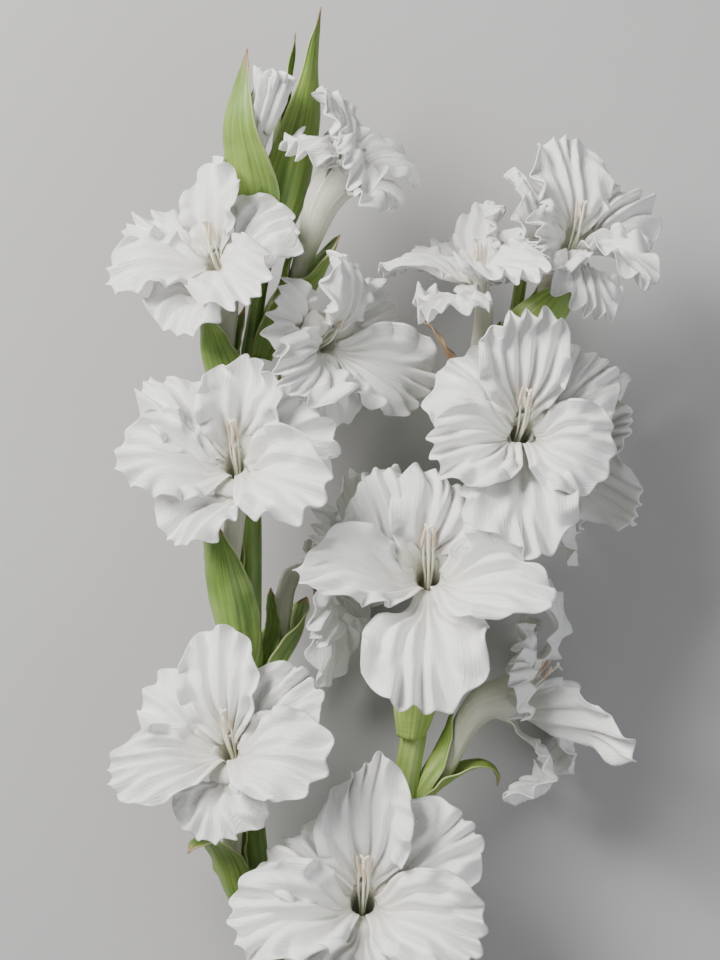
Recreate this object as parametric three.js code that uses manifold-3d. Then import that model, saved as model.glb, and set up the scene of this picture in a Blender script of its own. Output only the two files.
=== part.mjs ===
// Cut gladioli: two flowering stems lying side by side on a flat surface.
// Millimetres, +Z up, +Y from the cut ends towards the tips. The origin is on the surface, under the middle
// of the bunch. Each floret has a fused six-lobed perianth, three stamens round a style and two green bracts.
import * as THREE from "three";
import { mergeVertices } from "three/addons/utils/BufferGeometryUtils.js";
import Module from "manifold-3d";

const wasm = await Module();
wasm.setup();

// ---------------------------------------------------------------- driving dimensions
const FLORET_SPAN = 100; // an open floret, from tip to tip
const STALK_LENGTH = 312; // bare stem below the flowering head
const STEM_RADIUS = 7.2; // at the cut end
const STEM_TIP_RADIUS = 2.6;
const TUBE_RADIUS = 3.4; // perianth tube where it leaves the stem
const THROAT_RADIUS = 12; // where the six lobes part, on a floret of full size
const TEPAL_THICKNESS = 1.2;
const BRACT_THICKNESS = 1.1;
const BRACT_LENGTH = 62;
const BRACT_BELLY = 2.6; // how far an outer bract bulges off its tube halfway up
const FILAMENT_RADIUS = 0.7;
const ANTHER_RADIUS = 1.3;
const ANTHER_LENGTH = 10;
const GAP = 1; // clear space between neighbouring pieces

// ---------------------------------------------------------------- shape of a floret
const LOBES = 6;
const LOBE_COLUMNS = 3; // facets across one lobe
const TUBE_ROWS = [0.25, 0.5, 0.7, 0.86, 1]; // shares of the tube's length
const LIMB_ROWS = [0.16, 0.42, 0.74, 1]; // shares of a lobe's length
const LIMB_SHARE = 0.54; // a lobe's length over the floret's span
const HALF_WIDTH_SHARE = 0.235; // a lobe's half width over the floret's span
const MOUTH_SHARE = 0.17; // how far the mouth stands above the parting of the lobes, over the span
const THROAT_LEAN = 26; // degrees between a lobe and the floret's axis, where the lobes part
const WHORL_STEP = 2.2; // how far each whorl stands off the surface between them
const LIMB_CURVATURE = 1 / 70; // a lobe is slightly cupped across
const BEND_ROOM = 12; // a lobe starts to bend this far before it would meet a neighbour
const TABLE_BEND_ROOM = 4; // and this far above the surface
const SAMPLES = 32;

// All places in the tables are in hundredths of a floret's span, so the head grows with its florets.
const UNIT = FLORET_SPAN / 100;
const place = ([x, y, z]) => new THREE.Vector3(x, y, z).multiplyScalar(UNIT);
const radians = THREE.MathUtils.degToRad;
const mix = THREE.MathUtils.lerp;
const smooth = (x) => THREE.MathUtils.smoothstep(x, 0, 1);

// Centre line of each stem from the head's bottom to its tip, and where across the bunch its cut end lies.
const STEMS = {
  left: {
    cutX: -34,
    line: [
      [-46, -230, 35],
      [-53, -182, 39],
      [-56, -134, 43],
      [-55, -77, 48],
      [-54, -38, 52],
      [-54, 14, 56],
      [-53, 67, 61],
      [-47, 102, 65],
      [-41, 124, 68],
      [-35, 148, 72],
    ],
  },
  right: {
    cutX: -10,
    line: [
      [4, -230, 35],
      [11, -192, 38],
      [20, -146, 42],
      [28, -101, 46],
      [37, -62, 50],
      [49, -19, 53],
      [62, 29, 57],
      [70, 68, 61],
      [76, 104, 64],
    ],
  },
};

// node: how far up the head the floret leaves its stem.
// side: on which side of the stem, in degrees (0 is +X, 90 is up, 180 is -X).
// mouth: the middle of its mouth. face: where it looks. lean: how far its lobes open from its axis, in
// degrees.
// rank: a floret of higher rank lies over its neighbours.
// The six lobes go round to the left from the top one, as someone looking into the floret sees them.
// points: where each lobe points (0 is right, 90 is the top). lengths, widths: against the usual lobe.
// leans: how much further a lobe opens. curls: how far its end rolls back, in degrees.
// outer, inner: how a bract differs from the usual one. curl is how far it has rolled back and wrap half its
// angle round the tube, in degrees.
const FLORETS = [
  {
    name: "left_floret_1", stem: "left", node: -198, side: 125,
    mouth: [-66, -124, 90], face: [-0.3, 0.2, 0.93], size: 0.93, lean: 90, rank: 0,
    points: [96, 145, 203, 268, 350, 42],
    lengths: [1, 0.95, 1.02, 0.74, 0.95, 1],
    widths: [1, 1, 0.85, 1, 1.1, 1],
    outer: { curl: 115, wrap: 60 },
  },
  {
    name: "left_floret_2", stem: "left", node: -92, side: -35,
    mouth: [-14, -46, 40], face: [0.72, -0.22, 0.25], size: 0.88, lean: 80, rank: -40,
    points: [95, 150, 210, 272, 330, 35],
    lengths: [1, 1, 0.9, 1.1, 1, 1.1],
    widths: [1, 1, 1, 0.85, 1, 1],
  },
  {
    name: "left_floret_3", stem: "left", node: -76, side: 128,
    mouth: [-62, 8, 100], face: [-0.2, 0.1, 0.95], size: 0.94, lean: 88, rank: 10,
    points: [80, 132, 178, 232, 340, 30],
    lengths: [1.06, 1.14, 0.94, 0.76, 0.92, 0.98],
    widths: [1, 0.9, 1, 0.9, 1.1, 1],
  },
  {
    name: "left_floret_4", stem: "left", node: 1, side: 28,
    mouth: [-12, 62, 89], face: [0.6, -0.15, 0.72], size: 0.84, lean: 82, rank: -15,
    points: [100, 150, 215, 270, 335, 30],
    lengths: [1.2, 0.7, 0.75, 0.72, 1.12, 0.95],
    widths: [0.8, 1, 1, 1, 1.1, 1],
  },
  {
    name: "left_floret_5", stem: "left", node: 38, side: 146,
    mouth: [-74, 103, 95], face: [-0.5, 0.3, 0.8], size: 0.86, lean: 86, rank: 5,
    points: [88, 158, 198, 255, 325, 40],
    lengths: [0.95, 1.05, 0.98, 0.72, 0.92, 0.85],
    widths: [0.9, 0.7, 0.9, 1, 1, 1],
  },
  {
    name: "left_floret_6", stem: "left", node: 70, side: -5,
    mouth: [-4, 148, 90], face: [0.72, 0.58, 0.36], size: 0.66, lean: 70, rank: 0,
    points: [90, 150, 210, 270, 330, 30],
    lengths: [1, 1, 1, 1, 1, 1],
    widths: [1, 1, 1, 1, 1, 1],
    leans: [-8, 0, 0, 0, 0, 0],
    curls: [30, 45, 40, 45, 40, 45],
  },
  {
    name: "right_floret_1", stem: "right", node: -266, side: 100,
    mouth: [0, -196, 88], face: [0.02, 0.12, 0.99], size: 1.1, lean: 90, rank: 10,
    points: [90, 144, 190, 262, 340, 36],
    lengths: [1.06, 0.95, 0.96, 0.9, 0.88, 1],
    widths: [1, 1, 1, 1, 1, 1],
  },
  {
    name: "right_floret_2", stem: "right", node: -150, side: -5,
    mouth: [84, -105, 50], face: [0.97, -0.08, 0.16], size: 1.0, lean: 84, rank: 0,
    points: [90, 150, 210, 270, 325, 30],
    lengths: [1.1, 0.95, 1.28, 1.15, 1, 0.95],
    widths: [0.8, 1, 0.85, 0.9, 1, 1],
    leans: [10, -10, -52, 4, 0, 0],
    curls: [20, 60, 0, 75, 40, 30],
    outer: { curl: 150, wrap: 50 }, inner: { length: 1.02, wrap: 88 },
  },
  {
    name: "right_floret_3", stem: "right", node: -112, side: 112,
    mouth: [28, -43, 98], face: [-0.12, 0.08, 0.98], size: 1.08, lean: 88, rank: 0,
    points: [78, 122, 178, 272, 352, 42],
    lengths: [0.85, 1.36, 1, 1.04, 1, 0.66],
    widths: [1, 0.68, 0.8, 1.2, 1, 1],
  },
  {
    name: "right_floret_4", stem: "right", node: -34, side: -25,
    mouth: [100, 8, 46], face: [0.84, -0.36, 0.1], size: 0.86, lean: 80, rank: -30,
    points: [90, 150, 210, 270, 330, 30],
    lengths: [1, 1.1, 1.15, 1, 1, 1],
    widths: [1, 1, 1, 1, 1, 1],
    leans: [-10, -30, -40, -15, 0, 0],
  },
  {
    name: "right_floret_5", stem: "right", node: -26, side: 62,
    mouth: [72, 22, 104], face: [-0.02, -0.04, 1], size: 1.0, lean: 90, rank: 30,
    points: [92, 140, 200, 268, 340, 42],
    lengths: [1.2, 0.8, 0.66, 1.05, 0.68, 0.85],
    widths: [1, 1, 1, 1.15, 1, 1],
  },
  {
    name: "right_floret_6", stem: "right", node: 40, side: 160,
    mouth: [50, 100, 88], face: [-0.35, 0.78, 0.5], size: 0.8, lean: 84, rank: 10,
    points: [90, 150, 195, 270, 330, 30],
    lengths: [1, 1, 1.15, 0.9, 1.2, 1.15],
    widths: [1, 1, 0.7, 1, 1, 1],
    outer: { curl: 75, wrap: 30 },
  },
  {
    name: "right_floret_7", stem: "right", node: 60, side: 60,
    mouth: [100, 114, 88], face: [0.24, 0.4, 0.88], size: 0.82, lean: 84, rank: 0,
    points: [98, 150, 210, 265, 318, 28],
    lengths: [1, 1, 0.9, 0.95, 0.85, 0.95],
    widths: [1.1, 1, 1, 1, 0.8, 1],
  },
];

// ---------------------------------------------------------------- curves
// A line through points with a frame that doesn't twist along it. It runs on straight past both ends.
class Spine {
  constructor(points, rightAtEnd) {
    const last = points.length - 1;
    this.points = points;
    this.along = points.map((_, i) =>
      points[Math.min(i + 1, last)].clone().sub(points[Math.max(i - 1, 0)]).normalize());
    this.reached = [0];
    for (let i = 1; i <= last; i++) {
      this.reached[i] = this.reached[i - 1] + points[i].distanceTo(points[i - 1]);
    }
    this.length = this.reached[last];
    this.right = [];
    let right = rightAtEnd.clone();
    for (let i = last; i >= 0; i--) {
      right = right.clone().addScaledVector(this.along[i], -right.dot(this.along[i])).normalize();
      this.right[i] = right;
    }
  }

  // The point at x to the right of and y above the line, at distance s from its start.
  at(x, y, s) {
    const inside = THREE.MathUtils.clamp(s, 0, this.length);
    const next = Math.max(1, this.reached.findIndex((reached) => reached >= inside - 1e-9));
    const i = next - 1;
    const t = (inside - this.reached[i]) / (this.reached[next] - this.reached[i]);
    const blend = (list) => list[i].clone().lerp(list[next], t);
    const along = blend(this.along).normalize();
    const right = blend(this.right);
    const up = along.clone().cross(right);
    const point = blend(this.points).addScaledVector(right, x).addScaledVector(up, y);
    return point.addScaledVector(along, s - inside);
  }

  // The angle of a direction in the frame at the start, measured from right towards up.
  angleAtStart(direction) {
    const up = this.along[0].clone().cross(this.right[0]);
    return Math.atan2(direction.dot(up), direction.dot(this.right[0]));
  }
}

// ---------------------------------------------------------------- stems
const STALK_STEPS = 6;
const HEAD_STEPS = 26;

// A stem's centre line: the stalk from its cut end, which rests on the surface, and then the head.
function stemSpine({ line, cutX }) {
  const head = new THREE.CatmullRomCurve3(line.map(place), false, "centripetal");
  const bottom = head.getPoint(0);
  const cut = new THREE.Vector3(cutX, bottom.y - STALK_LENGTH, STEM_RADIUS);
  const handle = STALK_LENGTH / 3;
  const stalk = new THREE.CubicBezierCurve3(
    cut,
    cut.clone().lerp(bottom, 1 / 3),
    bottom.clone().addScaledVector(head.getTangent(0), -handle),
    bottom,
  );
  const points = [...stalk.getPoints(STALK_STEPS).slice(0, -1), ...head.getSpacedPoints(HEAD_STEPS)];
  return new Spine(points, new THREE.Vector3(1, 0, 0));
}

// The radius at a stem's point by its number: even up the stalk, thinner up the head.
const stemRadius = (i) =>
  mix(STEM_RADIUS, STEM_TIP_RADIUS, Math.max(0, (i - STALK_STEPS) / HEAD_STEPS) ** 1.3);

const stems = Object.fromEntries(Object.entries(STEMS).map(([name, stem]) => [name, stemSpine(stem)]));

// Where a stem passes height y up the head: its centre, direction and radius there.
function stemAt(name, y) {
  const { points } = stems[name];
  const next = points.findIndex((point) => point.y > y);
  const [a, b] = [points[next - 1], points[next]];
  const t = (y - a.y) / (b.y - a.y);
  const along = b.clone().sub(a).normalize();
  return { centre: a.clone().lerp(b, t), along, radius: stemRadius(next - 1 + t) };
}

// ---------------------------------------------------------------- where each floret stands
// Keeps a point clear of a round thing that runs along a list of points. radiusAt gives the radius at a
// point of the list by its number, or between two.
function keepOff(point, line, radiusAt) {
  const nearest = new THREE.Vector3();
  const segment = new THREE.Line3();
  let closest = { distance: Infinity };
  for (let i = 1; i < line.length; i++) {
    segment.set(line[i - 1], line[i]);
    segment.closestPointToPoint(point, true, nearest);
    const distance = nearest.distanceTo(point);
    if (distance < closest.distance) closest = { distance, at: nearest.clone(), i: i - 0.5 };
  }
  const radius = radiusAt(closest.i);
  if (closest.distance < radius) point.sub(closest.at).setLength(radius).add(closest.at);
}

// The tube's radius at a share of its length.
function tubeRadius(throatRadius, share) {
  return mix(TUBE_RADIUS, throatRadius, share ** 2.2);
}

// how far the middle of each bract's thickness stands off the middle of the tube's wall
const INNER_BRACT_OFF = TEPAL_THICKNESS / 2 + GAP + BRACT_THICKNESS / 2;
const OUTER_BRACT_OFF = INNER_BRACT_OFF + BRACT_THICKNESS + GAP / 2;
const BRACT_ROOM = OUTER_BRACT_OFF + BRACT_THICKNESS / 2;

// The outside of the bracts round a tube or bud, at a point of its spine by its number.
const sheathRadius = ({ spine, radiusAt }, i) =>
  radiusAt((i / (spine.points.length - 1)) * spine.length) + BRACT_ROOM;

const OUTWARD = 0.3; // how steeply a tube starts away from its stem
const TUBE_STEPS = 8;

// A point just outside a stem, on one side of it, with the direction away from it.
function onStem(stem, node, sideAngle, room) {
  const { centre, along, radius } = stemAt(stem, node * UNIT);
  const side = radians(sideAngle);
  const outward = new THREE.Vector3(Math.cos(side), 0, Math.sin(side));
  outward.addScaledVector(along, -outward.dot(along)).normalize();
  const base = centre.clone().addScaledVector(outward, radius + room);
  const start = along.clone().addScaledVector(outward, OUTWARD).normalize();
  return { base, start, outward };
}

// ---------------------------------------------------------------- the left stem's bud and closed tip
// Each outline gives the radius at shares of the length.
const BUD = { node: 106, side: 178, tip: [-49, 194, 96], outerLength: 101, innerLength: 62 };
const BUD_OUTLINE = [[0, 2], [0.2, 4], [0.5, 6.4], [0.75, 7.4], [0.92, 6], [1, 2.5]];
const SPEAR = { node: 118, side: 15, tip: [-28, 206, 75], outerLength: 108, innerLength: 95 };
const SPEAR_OUTLINE = [[0, 4.2], [0.3, 7], [0.6, 6.5], [1, 2.5]];

// The radius that an outline gives at a share of its length.
function outlineRadius(outline, share) {
  const after = Math.max(1, outline.findIndex(([at]) => at >= share));
  if (share >= 1) return outline.at(-1)[1];
  const [[from, r0], [to, r1]] = [outline[after - 1], outline[after]];
  return mix(r0, r1, smooth((share - from) / (to - from)));
}

function standBud() {
  const room = BUD_OUTLINE[0][1] + BRACT_ROOM + GAP;
  const { base, start, outward } = onStem("left", BUD.node, BUD.side, room);
  const tip = place(BUD.tip);
  const reach = tip.distanceTo(base);
  const curve = new THREE.CubicBezierCurve3(
    base,
    base.clone().addScaledVector(start, reach / 3),
    tip.clone().add(new THREE.Vector3(-0.06, -0.3, -0.03).multiplyScalar(reach)),
    tip,
  );
  const spine = new Spine(curve.getSpacedPoints(SAMPLES), new THREE.Vector3(1, 0, 0));
  return { spine, outward, radiusAt: (along) => outlineRadius(BUD_OUTLINE, along / spine.length) };
}

// The stem's thin end runs up inside the spear.
function standSpear() {
  const { centre } = stemAt("left", SPEAR.node * UNIT);
  const { outward } = onStem("left", SPEAR.node, SPEAR.side, 0);
  const stemPoints = STEMS.left.line.map(place).filter((point) => point.y > centre.y + 1);
  const curve = new THREE.CatmullRomCurve3([centre, ...stemPoints, place(SPEAR.tip)]);
  const spine = new Spine(curve.getSpacedPoints(SAMPLES), new THREE.Vector3(1, 0, 0));
  return { spine, outward, radiusAt: (along) => outlineRadius(SPEAR_OUTLINE, along / spine.length) };
}

const bud = standBud();
const spear = standSpear();

// ---------------------------------------------------------------- the open florets
// The middle line of a tube from its node to its throat, clear of both stems and of the left one's tip.
function tubePoints({ base, start }, throat, face, throatRadius, stemName) {
  const reach = throat.distanceTo(base);
  const direct = new THREE.CubicBezierCurve3(
    base,
    base.clone().addScaledVector(start, reach * 0.42),
    throat.clone().addScaledVector(face, -reach * 0.3),
    throat,
  );
  const points = direct.getPoints(TUBE_STEPS);
  points.forEach((point, i) => {
    const room = tubeRadius(throatRadius, i / TUBE_STEPS) + BRACT_ROOM + GAP;
    for (const stem of Object.values(stems)) keepOff(point, stem.points, (at) => stemRadius(at) + room);
    if (stemName === "left") keepOff(point, spear.spine.points, (at) => sheathRadius(spear, at) + room);
  });
  return new THREE.CatmullRomCurve3(points).getSpacedPoints(SAMPLES);
}

function standFloret(row) {
  const foot = onStem(row.stem, row.node, row.side, TUBE_RADIUS + BRACT_ROOM + GAP / 2);
  const face = new THREE.Vector3(...row.face).normalize();
  const mouth = place(row.mouth);
  const throat = mouth.clone().addScaledVector(face, -MOUTH_SHARE * FLORET_SPAN * row.size);
  const throatRadius = THROAT_RADIUS * row.size;
  const up = new THREE.Vector3(0, 1, 0).addScaledVector(face, -face.y).normalize();
  const points = tubePoints(foot, throat, face, throatRadius, row.stem);
  const spine = new Spine(points, up.clone().cross(face));
  const radiusAt = (along) => tubeRadius(throatRadius, along / spine.length);
  return { ...row, spine, outward: foot.outward, mouth, throatRadius, radiusAt };
}

const florets = FLORETS.map(standFloret);
const sheaths = [...florets, bud, spear];

// ---------------------------------------------------------------- room between neighbours
const RANK_UP = new THREE.Vector3(0, 0, 1);

// Brings a distance d back under a limit, gently from some way before it.
function held(d, limit, room) {
  const start = limit - room;
  return d <= start ? d : start + room * Math.tanh((d - start) / room);
}

// Keeps a point of one floret on its own side of the plane between it and each neighbour.
function keepApart(point, own) {
  for (const other of florets) {
    if (other === own) continue;
    const ownWeight = own.size / (own.size + other.size);
    const middle = own.mouth.clone().lerp(other.mouth, ownWeight);
    const across = other.mouth.clone().sub(own.mouth);
    across.addScaledVector(RANK_UP, (other.rank - own.rank) * UNIT).normalize();
    const d = point.clone().sub(middle).dot(across);
    point.addScaledVector(across, held(d, -TEPAL_THICKNESS, BEND_ROOM) - d);
  }
}

// Lays what would reach through the surface flat on it.
function keepOnTable(point) {
  point.z = -held(-point.z, -TEPAL_THICKNESS / 2, TABLE_BEND_ROOM);
}

const FACET_ROOM = 4.2; // a flat facet cuts this far inside the round thing that its corners clear
const CLEAR = TEPAL_THICKNESS / 2 + GAP + FACET_ROOM;

function settle(point, own) {
  for (let round = 0; round < 2; round++) {
    keepApart(point, own);
    for (const stem of Object.values(stems)) keepOff(point, stem.points, (at) => stemRadius(at) + CLEAR);
    for (const sheath of sheaths.filter((other) => other !== own)) {
      keepOff(point, sheath.spine.points, (at) => sheathRadius(sheath, at) + BRACT_BELLY + CLEAR);
    }
    keepOnTable(point);
  }
  return point;
}

// ---------------------------------------------------------------- surfaces to closed solids
// points is a list of Vector3, faces a list of quads or triangles by index. Returns the closed shell of that
// thickness around the sheet.
function shell(points, faces, thickness) {
  const triangles = faces.flatMap(([a, b, c, d]) => (d === undefined ? [[a, b, c]] : [[a, b, c], [a, c, d]]));
  const normals = points.map(() => new THREE.Vector3());
  const edges = new Map();
  for (const [a, b, c] of triangles) {
    const n = points[b].clone().sub(points[a]).cross(points[c].clone().sub(points[a]));
    for (const i of [a, b, c]) normals[i].add(n);
    for (const [i, j] of [[a, b], [b, c], [c, a]]) edges.set(`${i},${j}`, [i, j]);
  }
  const half = thickness / 2;
  const front = points.map((p, i) => p.clone().addScaledVector(normals[i].normalize(), half));
  const back = points.map((p, i) => p.clone().addScaledVector(normals[i], -half));
  const vertices = [...front, ...back];
  const m = points.length;
  const index = triangles.flatMap(([a, b, c]) => [a, b, c, m + a, m + c, m + b]);
  for (const [i, j] of edges.values()) {
    if (!edges.has(`${j},${i}`)) index.push(j, i, m + i, j, m + i, m + j);
  }
  const geometry = new THREE.BufferGeometry().setFromPoints(vertices);
  geometry.setIndex(index);
  geometry.computeVertexNormals();
  return geometry;
}

// A round solid whose outline is a list of [radius, distance along], bent along a spine.
function turned(outline, sides, spine) {
  const profile = outline.map(([radius, along]) => new THREE.Vector2(radius, along));
  const geometry = new THREE.LatheGeometry(profile, sides);
  const position = geometry.getAttribute("position");
  for (let i = 0; i < position.count; i++) {
    const p = spine.at(position.getZ(i), position.getX(i), position.getY(i));
    position.setXYZ(i, p.x, p.y, p.z);
  }
  geometry.computeVertexNormals();
  return geometry;
}

function solidOf(geometry) {
  const bare = geometry.clone();
  bare.deleteAttribute("normal");
  bare.deleteAttribute("uv");
  const merged = mergeVertices(bare, 1e-3);
  const { array } = merged.index;
  const kept = [];
  for (let i = 0; i < array.length; i += 3) {
    const [a, b, c] = array.slice(i, i + 3);
    if (a !== b && b !== c && c !== a) kept.push(a, b, c);
  }
  const mesh = new wasm.Mesh({
    numProp: 3,
    vertProperties: new Float32Array(merged.getAttribute("position").array),
    triVerts: new Uint32Array(kept),
  });
  return new wasm.Manifold(mesh);
}

function geometryOf(solid) {
  const mesh = solid.getMesh();
  const positions = new Float32Array(mesh.numVert * 3);
  for (let i = 0; i < mesh.numVert; i++) {
    positions.set(mesh.vertProperties.subarray(i * mesh.numProp, i * mesh.numProp + 3), i * 3);
  }
  const geometry = new THREE.BufferGeometry();
  geometry.setAttribute("position", new THREE.BufferAttribute(positions, 3));
  geometry.setIndex(new THREE.BufferAttribute(mesh.triVerts, 1));
  geometry.computeVertexNormals();
  return geometry;
}

function joined(geometries) {
  return geometryOf(geometries.map(solidOf).reduce((whole, part) => whole.add(part)));
}

// ---------------------------------------------------------------- perianth
// The line up the middle of a lobe: radius, distance along the axis and lean, at even steps of its length.
function limbMiddle(floret, lobe) {
  const inner = lobe % 2 === 0;
  const length = LIMB_SHARE * FLORET_SPAN * floret.size * floret.lengths[lobe];
  const opened = floret.lean + (inner ? -8 : 4) + (floret.leans?.[lobe] ?? 0);
  const curl = floret.curls?.[lobe] ?? 0;
  const line = [{ r: floret.throatRadius, s: floret.spine.length, lean: radians(THROAT_LEAN) }];
  for (let i = 1; i <= SAMPLES; i++) {
    const q = i / SAMPLES;
    const open = mix(THROAT_LEAN, opened, smooth((q - 0.12) / 0.62));
    const lean = radians(open + curl * smooth((q - 0.45) / 0.55));
    const last = line[i - 1];
    const step = length / SAMPLES;
    line.push({ r: last.r + Math.sin(lean) * step, s: last.s + Math.cos(lean) * step, lean });
  }
  return line;
}

// A point of a lobe: q is 0 where the lobes part and 1 at the margin, v runs from -1 to 1 across.
function limbPoint(floret, lobe, middle, q, v) {
  const share = q * (1 - 0.2 * Math.abs(v) ** 2.2);
  const t = share * SAMPLES;
  const i = Math.min(Math.floor(t), SAMPLES - 1);
  const [a, b] = [middle[i], middle[i + 1]];
  const r = mix(a.r, b.r, t - i);
  const s = mix(a.s, b.s, t - i);
  const lean = mix(a.lean, b.lean, t - i);
  const sector = Math.PI / LOBES;
  const narrow = r * sector * 0.97;
  const full = HALF_WIDTH_SHARE * FLORET_SPAN * floret.size * floret.widths[lobe];
  const wide = mix(floret.throatRadius * sector, full, Math.sin((Math.PI / 2) * Math.min(1, q / 0.8)) ** 0.9);
  const halfWidth = mix(narrow, wide, smooth((q - 0.1) / 0.3));
  const curvature = mix(1 / floret.throatRadius, LIMB_CURVATURE, Math.min(1, q * 2));
  const turn = curvature * v * halfWidth;
  const inner = lobe % 2 === 0;
  const off = (inner ? WHORL_STEP : -WHORL_STEP) * smooth(q / 0.14);
  const aside = Math.sin(turn) / curvature;
  const rise = (1 - Math.cos(turn)) / curvature + off;
  const radius = r - Math.cos(lean) * rise;
  const along = s + Math.sin(lean) * rise;
  const even = 90 + (lobe * 360) / LOBES;
  const swing = THREE.MathUtils.euclideanModulo(floret.points[lobe] - even + 180, 360) - 180;
  const angle = radians(even + swing * smooth(q / 0.6));
  const x = radius * Math.cos(angle) - aside * Math.sin(angle);
  const y = radius * Math.sin(angle) + aside * Math.cos(angle);
  return settle(floret.spine.at(x, y, along), floret);
}

function perianth(floret) {
  const around = LOBES * LOBE_COLUMNS;
  const points = [floret.spine.at(0, 0, 0)];
  const faces = [];
  const ring = (row) => 1 + row * around;
  for (const share of TUBE_ROWS) {
    const radius = tubeRadius(floret.throatRadius, share);
    for (let i = 0; i < around; i++) {
      // column 0 is the right-hand edge of lobe 0
      const angle = Math.PI / 2 + (2 * Math.PI * (i - LOBE_COLUMNS / 2)) / around;
      points.push(floret.spine.at(
        radius * Math.cos(angle), radius * Math.sin(angle), share * floret.spine.length));
    }
  }
  for (let i = 0; i < around; i++) {
    const next = (i + 1) % around;
    faces.push([0, ring(0) + next, ring(0) + i]);
    for (let row = 1; row < TUBE_ROWS.length; row++) {
      faces.push([ring(row - 1) + i, ring(row - 1) + next, ring(row) + next, ring(row) + i]);
    }
  }
  const mouthRing = ring(TUBE_ROWS.length - 1);
  for (let lobe = 0; lobe < LOBES; lobe++) {
    const middle = limbMiddle(floret, lobe);
    let below = [];
    for (let c = 0; c <= LOBE_COLUMNS; c++) below.push(mouthRing + ((lobe * LOBE_COLUMNS + c) % around));
    for (const q of LIMB_ROWS) {
      const row = [];
      for (let c = 0; c <= LOBE_COLUMNS; c++) {
        row.push(points.length);
        points.push(limbPoint(floret, lobe, middle, q, (2 * c) / LOBE_COLUMNS - 1));
      }
      for (let c = 0; c < LOBE_COLUMNS; c++) faces.push([below[c], below[c + 1], row[c + 1], row[c]]);
      below = row;
    }
  }
  return shell(points, faces, TEPAL_THICKNESS);
}

// ---------------------------------------------------------------- stamens and style
const FILAMENT_STEPS = 12;
const STAMEN_SPREAD = 3.2; // how far the filaments stand round the style
const STYLE_RISE = 11; // the style and stamens arch this far towards the upper lobe
const STAMEN_RISE = 25; // from where the lobes part to an anther's tip

// A filament or style as a spine of its own, inside the floret's.
function innerSpine(floret, angle, height, spread) {
  const start = floret.spine.length * 0.72;
  const end = floret.spine.length + height * floret.size;
  const points = [];
  for (let i = 0; i <= 4; i++) {
    const t = i / 4;
    const lean = STYLE_RISE * floret.size * t * t;
    const out = spread * smooth(t * 1.5);
    points.push(floret.spine.at(out * Math.cos(angle), out * Math.sin(angle) + lean, mix(start, end, t)));
  }
  const curve = new THREE.CatmullRomCurve3(points);
  return new Spine(curve.getSpacedPoints(FILAMENT_STEPS), floret.spine.right.at(-1));
}

function stamensAndStyle(floret) {
  const pieces = [];
  for (let i = 0; i < 3; i++) {
    const spine = innerSpine(floret, radians(30 + 120 * i), STAMEN_RISE, STAMEN_SPREAD);
    const top = spine.length;
    const anther = ANTHER_LENGTH * floret.size;
    const outline = [
      [0, 0], [FILAMENT_RADIUS, 0], [FILAMENT_RADIUS, top - anther],
      [ANTHER_RADIUS, top - anther * 0.7], [ANTHER_RADIUS, top - anther * 0.2], [0, top],
    ];
    pieces.push(turned(outline, 5, spine));
  }
  const style = innerSpine(floret, 0, STAMEN_RISE + 7, 0);
  pieces.push(turned([[0, 0], [FILAMENT_RADIUS, 0], [FILAMENT_RADIUS, style.length - 4],
    [ANTHER_RADIUS * 1.2, style.length], [0, style.length]], 5, style));
  const foot = new THREE.SphereGeometry(FILAMENT_RADIUS * 2.4, 6, 4);
  const footAt = innerSpine(floret, 0, 0, 0).points[0];
  pieces.push(foot.translate(footAt.x, footAt.y, footAt.z));
  return joined(pieces);
}

// ---------------------------------------------------------------- bracts
const BRACT_ROWS = [0, 0.18, 0.36, 0.54, 0.7, 0.86, 1];
const BRACT_TUBE_SHARE = 0.7; // a bract is at most this share of its tube's length
const ROLL_START = 0.3; // the share of a bract's length where it starts to roll back
const OUTER_BRACT = {
  facing: 0, wrap: 98, off: OUTER_BRACT_OFF, belly: BRACT_BELLY, length: 1, curl: 10, columns: 4,
};
const INNER_BRACT = {
  facing: 180, wrap: 70, off: INNER_BRACT_OFF, belly: 0, length: 0.82, curl: 0, columns: 3,
};

// The line up the middle of a bract: distance along the tube, height off it and the tube's radius there.
function bractMiddle(radiusAt, length, curl) {
  const line = [{ along: 0, lift: 0, radius: radiusAt(0) }];
  for (let i = 1; i <= SAMPLES; i++) {
    const lean = radians(curl) * smooth((i / SAMPLES - ROLL_START) / (1 - ROLL_START));
    const last = line[i - 1];
    const along = last.along + (Math.cos(lean) * length) / SAMPLES;
    line.push({ along, lift: last.lift + (Math.sin(lean) * length) / SAMPLES, radius: radiusAt(along) });
  }
  return line;
}

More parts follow.
